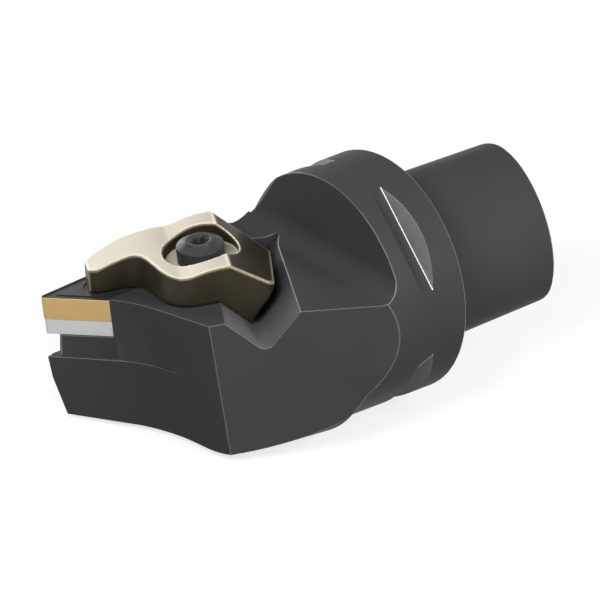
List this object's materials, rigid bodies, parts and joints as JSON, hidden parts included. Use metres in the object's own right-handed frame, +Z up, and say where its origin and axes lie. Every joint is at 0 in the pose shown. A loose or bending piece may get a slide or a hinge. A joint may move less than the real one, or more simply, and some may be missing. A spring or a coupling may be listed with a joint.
{
  "type": "turning tool holder",
  "caption": "Left-hand turning tool holder with a three-lobed taper shank, gripper flange, offset head and a screw-down top clamp holding a 55 degree insert on a shim.",
  "frame": {"origin": "on the shank's axis at the flange face, which is the gauge plane of the taper", "axes": "+X along the shank, away from the cutting corner; +Y to the side of the cutting corner; +Z up, out of the insert's top"},
  "size_m": [0.0921, 0.06, 0.0513],
  "materials": {
    "black_steel": "black oxide, satin",
    "shim_carbide": "ground, light grey",
    "screw_steel": "dark, blackened",
    "insert_carbide": "gold coated flank, charcoal top",
    "clamp_steel": "satin champagne plating, dark bronze sides",
    "spring_steel": "drawn spring wire"
  },
  "bodies": {
    "holder": {"holder_body": "black_steel", "shim": "shim_carbide", "shim_screw": "screw_steel", "insert": "insert_carbide", "lift_spring": "spring_steel"},
    "clamp": {"clamp": "clamp_steel"},
    "screw": {"clamp_screw": "screw_steel"}
  },
  "joints": [
    {"name": "clamp_lift", "type": "slide", "parent": "holder", "child": "clamp", "axis": [-0.0901, 0.0531, 0.9945], "range_m": [0, 0.003], "deforming": ["lift_spring"]},
    {"name": "screw_turn", "type": "hinge", "parent": "clamp", "child": "screw", "pos_m": [-0.03846, 0.01314, 0.0139], "axis": [-0.0901, 0.0531, 0.9945], "range_deg": [0, 1080]}
  ],
  "couplings": [
    {"joint": "screw_turn", "follows": "clamp_lift", "rad_per_m": 6283.2}
  ]
}
